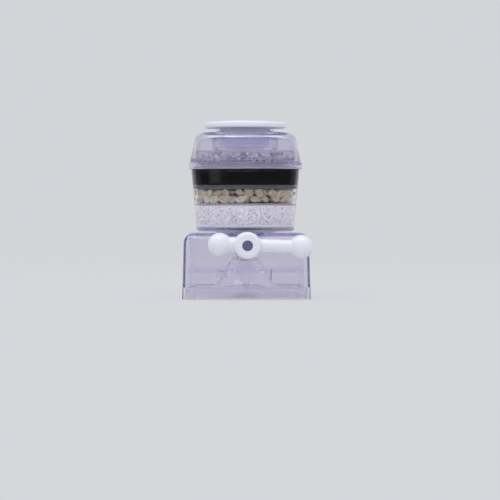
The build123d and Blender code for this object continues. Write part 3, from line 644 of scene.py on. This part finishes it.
def make_granules():
    """The bed of fine white granules, a grainy body with single grains at its wall."""
    low, high = node_box("granule_bed")
    high_hood = node_box("outlet_strainer")[1]
    rows, steps, grain, dark_from = 44, 420, 0.16, 0.91
    hood_r, hood_z = high_hood.x + 0.1, high_hood.z + 0.1
    outline = [(hood_r, low.z), (cup_in_r(low.z) - 0.3, low.z)]
    for i in range(rows + 1):
        z = low.z + (high.z - low.z) * i / rows
        outline.append((cup_in_r(z) + AIR - grain, z))
    outline += [(0, high.z), (0, hood_z), (hood_r, hood_z)]
    bed = turned("granules", outline, steps, 180)
    tones = []
    for v in bed.data.vertices:
        p = v.co / MM
        r = math.hypot(p.x, p.y)
        if r > hood_r + 1:
            swell = max(1 - noise.voronoi(p * 1.25)[0][0] * 1.1, 0)
            v.co.x *= 1 + grain * swell / r
            v.co.y *= 1 + grain * swell / r
        cell = noise.cell(p * 1.6)
        tones.append(0.9 if cell > dark_from else 0.1 + 0.6 * abs(cell))
    layer = bed.data.attributes.new("tone", "FLOAT", "POINT")
    layer.data.foreach_set("value", tones)
    seat(bed, "cup", "white_granules", granule_tones, "granule_bed")


def make_mineral():
    """The grey mineral grains in the neck."""
    low, high = node_box("mineral_bed")
    spots = []
    for i, level in enumerate((0.2, 0.52, 0.84)):
        z = low.z + (high.z - low.z) * level
        spots += ring_spots(NECK_IN_R - 0.9, z, 40, 1.35, 0.3, i * 0.5)
        spots += ring_spots(NECK_IN_R - 3.0, z, 36, 1.5, 0.4, i * 0.5)
        spots += ring_spots(NECK_IN_R - 5.2, z, 30, 1.5, 0.4, i * 0.5)
    shapes = [stone_shape(20 + i, 2) for i in range(4)]
    heap = strew("mineral", shapes, spots, lambda z: NECK_IN_R, low.z, high.z)
    seat(heap, "cup", "grey_mineral", mineral_tones, "mineral_bed")
    core_r = NECK_IN_R - 5.0
    core = turned("mineral_core", [(0, low.z), (core_r, low.z), (core_r, high.z), (0, high.z)], 64)
    layer = core.data.attributes.new("tone", "FLOAT", "POINT")
    layer.data.foreach_set("value", [0.3] * len(core.data.vertices))
    seat(core, "cup", "grey_mineral", mineral_tones)


# Head shell: a moulded box with a flat front, the valve barrel and the swivel spigot

def rounded_box(name, width, depth, low, high, corner, top_edge, taper):
    """A box that narrows upwards, with rounded upright corners and a rounded top."""
    box = block(name, (width, depth, high - low), (0, 0, (low + high) / 2))
    edit(box)
    pick(box, "FACE", lambda c, n: n.z > 0.9)
    less = 2 * (high - low) * math.tan(math.radians(taper))
    bpy.ops.transform.resize(value=((width - less) / width, (depth - less) / depth, 1))
    pick(box, "EDGE", lambda c, d: abs(d.z) > 0.7)
    bpy.ops.mesh.bevel(offset=corner * MM, offset_type="OFFSET", segments=12, affect="EDGES")
    if top_edge:
        pick(box, "EDGE", lambda c, d: c.z > high - 0.01)
        bpy.ops.mesh.bevel(offset=top_edge * MM, offset_type="OFFSET", segments=10, affect="EDGES")
    bpy.ops.mesh.select_all(action="SELECT")
    bpy.ops.mesh.normals_make_consistent(inside=False)
    bpy.ops.object.mode_set(mode="OBJECT")
    return box


def make_head():
    """The clear head shell."""
    width, depth = high_head.x - low_head.x, high_head.y - low_head.y
    wall, skirt, deck = 2.2, 1.3, 2.0
    shell = rounded_box("clear_head", width, depth, BASE_Z, HEAD_Z - AIR, 6.5, 4.8, HEAD_TAPER)
    room = rounded_box(
        "room", width - 2 * wall, depth - 2 * wall, BASE_Z, HEAD_Z - deck, 4.3, 1.4, HEAD_TAPER
    )
    carve(shell, room)
    rebate = rounded_box(
        "rebate", width - 2 * skirt, depth - 2 * skirt, BASE_Z - 1, high_plate.z + 0.6, 5.2, 0, HEAD_TAPER
    )
    carve(shell, rebate)
    rear, bore_end, barrel_r, port_r = 10.5, 9.0, 5.4, 1.2
    carve(shell, rod("barrel", barrel_r, (0, FRONT_Y + 0.02, VALVE_Z), (0, rear, VALVE_Z), 64), "UNION")
    carve(shell, rod("spigot", 8.0, (0, 0, VALVE_Z + 1), (0, 0, high_head.z), 64), "UNION")
    carve(shell, rod("bell_spigot", 4.6, (0, 0, VALVE_Z - 7.6), (0, 0, VALVE_Z), 48), "UNION")
    carve(shell, rod("bore", 3.9, (0, FRONT_Y - 2, VALVE_Z), (0, bore_end, VALVE_Z), 48))
    carve(shell, rod("drop", 5.0, (0, 0, VALVE_Z + barrel_r), (0, 0, high_head.z + 2), 48))
    carve(shell, rod("bell_bore", 3.6, (0, 0, VALVE_Z - 9), (0, 0, VALVE_Z - barrel_r), 48))
    for name, y, reach in (("inlet_port", 3.1, 7), ("stream_port", -1.5, -6), ("spray_port", -12.5, -7)):
        carve(shell, rod(name, port_r, (0, y, VALVE_Z), (0, y, VALVE_Z + reach), 24))
    even_normals(shell)
    seat(shell, "head", "clear_lavender", lavender, "head_shell")


def make_bell():
    """The clear bell on the barrel's spigot."""
    top, low, in_r, out_r, wall = high_bell.z, low_bell.z, 4.65, BELL_TOP_R, 1.3
    foot_r, collar_z = high_bell.x, high_bell.z - 2.6
    outline = [(in_r, top - 0.3), (in_r + 0.3, top), (out_r - 0.2, top), (out_r, top - 0.2)]
    outline += [(foot_r - 0.15, low + 0.2), (foot_r - 0.3, low), (foot_r - wall + 0.1, low)]
    outline += [(foot_r - wall - 0.1, low + 0.3), (in_r + 0.4, collar_z - 0.6), (in_r, collar_z + 0.2)]
    seat(turned("clear_bell", outline, 144, 25), "head", "clear_lavender", bell_clear, "stream_bell")


def make_inner_floor():
    """The clear inner floor with its slots, round the bell."""
    top, low = high_floor.z, low_floor.z
    width, depth = high_floor.x - low_floor.x, high_floor.y - low_floor.y
    bell_slope = (high_bell.x - BELL_TOP_R) / (high_bell.z - low_bell.z)
    hole_r = BELL_TOP_R + bell_slope * (high_bell.z - low) + 0.05
    plate = rounded_box("slotted_floor", width, depth, low, top, 4.1, 0, 0)
    carve(plate, rod("bell_hole", hole_r, (0, 0, top + 1), (0, 0, low - 1), 96))
    for side in (-1, 1):
        slot = rounded_box("slot", 3.2, 24.0, low - 1, top + 1, 1.55, 0, 0)
        slot.location.x = side * (width / 2 - 3.4) * MM
        only(slot)
        bpy.ops.object.transform_apply(location=True, rotation=True, scale=True)
        carve(plate, slot)
    even_normals(plate)
    seat(plate, "head", "clear_lavender", cup_clear, "inner_floor")


def make_spray_plate():
    """The spray plate, a tray with its field of holes."""
    width, depth = high_plate.x - low_plate.x, high_plate.y - low_plate.y
    plate_t, rim, pitch, hole, margin, land = 1.7, 1.4, 4.6, 0.65, 2.2, 1.3
    tray = rounded_box("spray_tray", width, depth, low_plate.z, high_plate.z, 5.05, 0, 0)
    top = low_plate.z + plate_t
    hollow = rounded_box("hollow", width - 2 * rim, depth - 2 * rim, top, high_plate.z + 1, 3.65, 0, 0)
    carve(tray, hollow)
    across = int((width / 2 - rim - margin) / pitch)
    along = int((depth / 2 - rim - margin) / pitch)
    drills = [rod("drill", 6.55, (0, 0, low_plate.z - 1), (0, 0, top + 1), 64)]
    for i in range(-across, across + 1):
        for j in range(-along, along + 1):
            if math.hypot(i, j) * pitch > high_bell.x + land:
                spot = (i * pitch, j * pitch)
                drills.append(rod("drill", hole, (*spot, low_plate.z - 1), (*spot, top + 1), 16))
    carve(tray, join("drills", drills))
    even_normals(tray)
    seat(tray, "head", "clear_lavender", milky, "spray_plate")


def make_marks():
    """Two small raised marks on the head's front, a fan of drops for spray and a bar for stream."""
    face = FRONT_Y + (VALVE_Z - 12.5 - BASE_Z) * math.tan(math.radians(HEAD_TAPER))
    spots = []
    for angle in (-28, 0, 28):
        for reach in (1.7, 3.1, 4.5):
            a = math.radians(angle)
            spots.append((-11.2 + reach * math.sin(a), VALVE_Z - 9.8 - reach * math.cos(a), 0.34))
    for step in range(5):
        spots.append((10.6, VALVE_Z - 11.0 - step * 0.95, 0.5))
    buttons = []
    for x, z, r in spots:
        button = rod("button", r, (x, face + 0.1, z), (x, face - 0.22, z), 16)
        edit(button)
        pick(button, "EDGE", lambda c, d: c.y < face - 0.2)
        bpy.ops.mesh.bevel(offset=0.12 * MM, offset_type="OFFSET", segments=3, affect="EDGES")
        bpy.ops.object.mode_set(mode="OBJECT")
        buttons.append(button)
    marks = join("raised_marks", buttons)
    even_normals(marks)
    seat(marks, "head", "clear_lavender", frosted)


# Lever: hub, two arms and two balls in one moulding

def make_lever():
    """The white lever."""
    droop = math.radians(1.5)
    back, front = high_lever.y, low_lever.y
    middle = (back + front) / 2
    ball, root_r, tip_r, short_r = 5.25, 3.1, 3.0, 3.5
    long_arm = (high_lever.x - ball) / math.cos(droop)
    short_arm = -(low_lever.x + ball) / math.cos(droop)
    blend = 0.8
    short_neck = math.degrees(math.asin((short_r + 0.45) / ball))
    long_neck = math.degrees(math.asin((tip_r + 0.45) / ball))
    short_end = -short_arm + ball * math.cos(math.radians(short_neck))
    long_end = long_arm - ball * math.cos(math.radians(long_neck))
    outline = arc(-short_arm, 0, ball, 180, short_neck, 24)
    outline += [(short_end + 0.45, short_r + 0.12), (short_end + 1.1, short_r), (0, short_r), (0, root_r)]
    outline += [(long_end - 1.3, tip_r), (long_end - 0.5, tip_r + 0.13)]
    outline += arc(long_arm, 0, ball, 180 - long_neck, 0, 24)
    lever = turned("lever_arms", outline, 64, 35, (1, 0, 0))
    turn = Matrix.Rotation(droop, 4, "Y")
    lever.data.transform(Matrix.Translation(Vector((0, middle, VALVE_Z)) * MM) @ turn)
    hub = rod("hub", 5.95, (0, back, VALVE_Z), (0, front, VALVE_Z), 96)
    edit(hub)
    pick(hub, "EDGE", lambda c, d: c.y < front + 0.01)
    bpy.ops.mesh.bevel(offset=1.6 * MM, offset_type="OFFSET", segments=10, affect="EDGES")
    bpy.ops.object.mode_set(mode="OBJECT")
    carve(lever, hub, "UNION")
    edit(lever, "EDGE")
    bpy.ops.mesh.edges_select_sharp(sharpness=math.radians(32))
    bpy.ops.object.mode_set(mode="OBJECT")
    mesh = lever.data
    for e in mesh.edges:
        c = (mesh.vertices[e.vertices[0]].co + mesh.vertices[e.vertices[1]].co) / 2 / MM
        off = math.hypot(c.x, c.z - VALVE_Z)
        e.select = e.select and abs(c.y - middle) < 4.0 and 4.5 < off < 6.3
    bpy.ops.object.mode_set(mode="EDIT")
    bpy.ops.mesh.bevel(
        offset=blend * MM, offset_type="OFFSET", segments=5, affect="EDGES", clamp_overlap=True
    )
    bpy.ops.object.mode_set(mode="OBJECT")
    carve(lever, rod("counterbore", 2.35, (0, front - 1, VALVE_Z), (0, front + 2.7, VALVE_Z), 48))
    even_normals(lever, 40)
    lever.name = "white_lever"
    seat(lever, "lever", "white_plastic", white_gloss, "lever")


def make_plug():
    """The dark plug in the middle of the hub."""
    front = low_lever.y
    plug = rod("dark_plug", 2.3, (0, front + 1.3, VALVE_Z), (0, front, VALVE_Z), 48)
    edit(plug)
    pick(plug, "FACE", lambda c, n: n.y < -0.9)
    for inset in (0.5, 0.5, 0.5, 0.4):
        bpy.ops.mesh.inset(thickness=inset * MM)
        bpy.ops.transform.translate(value=(0, -inset * 0.15 * MM, 0))
    close(plug, 50)
    seat(plug, "lever", "slate_plastic", slate, "lever_plug")


make_sleeve()
make_cap()
make_cup()
make_mineral()
disc_layer("pad_upper", "upper_pad", "white_felt", dusty_felt, NECK_IN_R - BED_GAP, NECK_IN_R - BED_GAP)
make_carbon()
disc_layer(
    "pad_middle", "middle_pad", "grey_felt", grey_felt,
    cup_in_r(node_box("middle_pad")[1].z) + SUNK, cup_in_r(node_box("middle_pad")[0].z) + SUNK,
)
make_stones()
disc_layer(
    "screen_brown", "stone_screen", "brown_mesh", brown_mesh,
    cup_in_r(node_box("stone_screen")[1].z) + SUNK, cup_in_r(node_box("stone_screen")[0].z) + SUNK,
)
make_granules()
make_head()
make_bell()
make_inner_floor()
make_spray_plate()
make_marks()
make_lever()
make_plug()

# The solids that keep their own mesh get their finish here
NODE_FINISH = {
    "inlet_washer": silicone,
    "inlet_screen": bright_steel,
    "cup_seal": smoky,
    "neck_grid": white_gloss,
    "bottom_pad": white_felt,
    "outlet_strainer": white_gloss,
    "swivel_washer": silicone,
    "spigot_seal": silicone,
    "spigot_clip": bright_steel,
    "spindle_bush": white_gloss,
    "plate_gasket": silicone,
    "stream_nozzle": white_gloss,
    "stream_screen": bright_steel,
    "valve_rotor": white_gloss,
    "rotor_seal_middle": dark_rubber,
    "rotor_seal_front": dark_rubber,
    "lever_screw": bright_steel,
}
for node, finish in NODE_FINISH.items():
    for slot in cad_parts[node].material_slots:
        slot.material = finish

# Stage: a pale floor that sweeps up into a backdrop

def make_stage():
    """A pale floor and backdrop in one sheet, joined by a wide curve.

    What gloss mirrors of it is dark in front and at the sides, and light only behind the filter.
    """
    near, far, rise, half, sweep = -1600.0, 1500.0, 1400.0, 2600.0, 600.0
    path = [(near, BASE_Z)] + arc(far - sweep, BASE_Z + sweep, sweep, -90, 0, 24) + [(far, BASE_Z + rise)]
    sheet = wire("backdrop", [(-half, y, z) for y, z in path])
    bpy.ops.mesh.select_all(action="SELECT")
    bpy.ops.mesh.extrude_region_move(TRANSFORM_OT_translate={"value": (2 * half * MM, 0, 0)})
    bpy.ops.mesh.select_all(action="SELECT")
    bpy.ops.mesh.normals_make_consistent(inside=False)
    bpy.ops.object.mode_set(mode="OBJECT")
    bpy.ops.object.shade_smooth()
    mat, nodes, links, shader = new_material("pale backdrop")
    shader.inputs["Base Color"].default_value = (0.62, 0.63, 0.66, 1)
    shader.inputs["Roughness"].default_value = 0.9
    shader.inputs["Specular IOR Level"].default_value = 0.0
    glow = nodes.new("ShaderNodeEmission")
    glow.inputs["Color"].default_value = (0.66, 0.668, 0.695, 1)
    ray = nodes.new("ShaderNodeLightPath")
    place = nodes.new("ShaderNodeTexCoord")
    parts = nodes.new("ShaderNodeSeparateXYZ")
    links.new(place.outputs["Object"], parts.inputs["Vector"])
    behind = nodes.new("ShaderNodeMapRange")
    behind.inputs["From Min"].default_value = -0.15
    behind.inputs["From Max"].default_value = 0.25
    behind.inputs["To Min"].default_value = 0.06
    behind.inputs["To Max"].default_value = 1.0
    links.new(parts.outputs["Y"], behind.inputs["Value"])
    power = nodes.new("ShaderNodeMix")
    power.inputs["A"].default_value = 1.0
    links.new(mirror_ray(nodes, links), power.inputs["Factor"])
    aside = nodes.new("ShaderNodeMath")
    aside.operation = "ABSOLUTE"
    links.new(parts.outputs["X"], aside.inputs[0])
    middle = nodes.new("ShaderNodeMapRange")
    middle.inputs["From Min"].default_value = 0.7
    middle.inputs["From Max"].default_value = 1.5
    middle.inputs["To Min"].default_value = 1.0
    middle.inputs["To Max"].default_value = 0.1
    links.new(aside.outputs["Value"], middle.inputs["Value"])
    mirrored = nodes.new("ShaderNodeMath")
    mirrored.operation = "MULTIPLY"
    links.new(behind.outputs["Result"], mirrored.inputs[0])
    links.new(middle.outputs["Result"], mirrored.inputs[1])
    links.new(mirrored.outputs["Value"], power.inputs["B"])
    links.new(power.outputs["Result"], glow.inputs["Strength"])
    share = nodes.new("ShaderNodeMapRange")
    share.inputs["To Min"].default_value = 0.82
    share.inputs["To Max"].default_value = 0.0
    links.new(ray.outputs["Is Diffuse Ray"], share.inputs["Value"])
    blend = nodes.new("ShaderNodeMixShader")
    links.new(share.outputs["Result"], blend.inputs["Fac"])
    links.new(shader.outputs["BSDF"], blend.inputs[1])
    links.new(glow.outputs["Emission"], blend.inputs[2])
    links.new(blend.outputs["Shader"], nodes["Material Output"].inputs["Surface"])
    sheet.data.materials.append(mat)


def area_lamp(name, place, size, power):
    """A soft square lamp that faces the middle of the filter."""
    bpy.ops.object.select_all(action="DESELECT")
    bpy.ops.object.light_add(type="AREA", location=Vector(place) * MM)
    lamp = bpy.context.object
    lamp.name = name
    lamp.data.shape = "RECTANGLE"
    lamp.data.size, lamp.data.size_y = size[0] * MM, size[1] * MM
    lamp.data.energy = power
    aim = Vector((0, 0, -45)) - Vector(place)
    lamp.rotation_euler = aim.to_track_quat("-Z", "Y").to_euler()


make_stage()
area_lamp("top lamp", (-100, -200, 900), (900, 700), 3.0)


def make_world():
    """A pale studio all round; gloss finds it dark but for the light above and a soft one on the left."""
    world = bpy.data.worlds.new("studio")
    bpy.context.scene.world = world
    world.use_nodes = True
    nodes, links = world.node_tree.nodes, world.node_tree.links
    sky = nodes["Background"]
    sky.inputs["Color"].default_value = (0.95, 0.965, 1.0, 1)
    place = nodes.new("ShaderNodeTexCoord")

    def lobe(direction, start, end, low, high):
        """A level that rises as the direction turns towards a given one."""
        towards = nodes.new("ShaderNodeVectorMath")
        towards.operation = "DOT_PRODUCT"
        towards.inputs[1].default_value = direction
        links.new(place.outputs["Generated"], towards.inputs[0])
        fade = nodes.new("ShaderNodeMapRange")
        fade.interpolation_type = "SMOOTHSTEP"
        fade.inputs["From Min"].default_value = start
        fade.inputs["From Max"].default_value = end
        fade.inputs["To Min"].default_value = low
        fade.inputs["To Max"].default_value = high
        links.new(towards.outputs["Value"], fade.inputs["Value"])
        return fade.outputs["Result"]

    both = nodes.new("ShaderNodeMath")
    links.new(lobe((-0.25, 0.45, 0.86), 0.42, 0.92, 0.04, 0.90), both.inputs[0])
    links.new(lobe((-0.94, -0.34, 0.0), 0.94, 1.0, 0.0, 0.40), both.inputs[1])
    ray = nodes.new("ShaderNodeLightPath")
    seen = nodes.new("ShaderNodeMapRange")
    seen.inputs["To Min"].default_value = 1.0
    seen.inputs["To Max"].default_value = 0.69
    links.new(ray.outputs["Is Camera Ray"], seen.inputs["Value"])
    level = nodes.new("ShaderNodeMix")
    links.new(seen.outputs["Result"], level.inputs["A"])
    links.new(mirror_ray(nodes, links), level.inputs["Factor"])
    links.new(both.outputs["Value"], level.inputs["B"])
    links.new(level.outputs["Result"], sky.inputs["Strength"])


make_world()

# Camera, level with the middle of the filter and a little to its left
HORIZON_Z = BASE_Z + 41.55
DISTANCE = 954.0
AXIS_SHIFT = 2.1
LENS = 152.6
PITCH = 1.216
TURN = math.radians(1.7)
across = Vector((math.cos(TURN), -math.sin(TURN), 0))
back = Vector((-math.sin(TURN), -math.cos(TURN), 0))
bpy.ops.object.camera_add(
    location=(back * DISTANCE + across * AXIS_SHIFT + Vector((0, 0, HORIZON_Z))) * MM,
    rotation=(math.radians(90 - PITCH), 0, -TURN),
)
camera = bpy.context.object
camera.data.sensor_width = 36.0
camera.data.lens = LENS
camera.data.clip_start = 0.01
camera.data.clip_end = 20.0
bpy.context.scene.camera = camera
bpy.context.scene.view_settings.view_transform = "Standard"

# Light that goes round inside the clear walls needs many more bounces than an open scene, and the filter that
# blurs gloss after a diffuse bounce would keep half of it from the layers
for kind in ("max_bounces", "glossy_bounces", "transmission_bounces"):
    setattr(bpy.context.scene.cycles, kind, 32)
bpy.context.scene.cycles.blur_glossy = 0.0
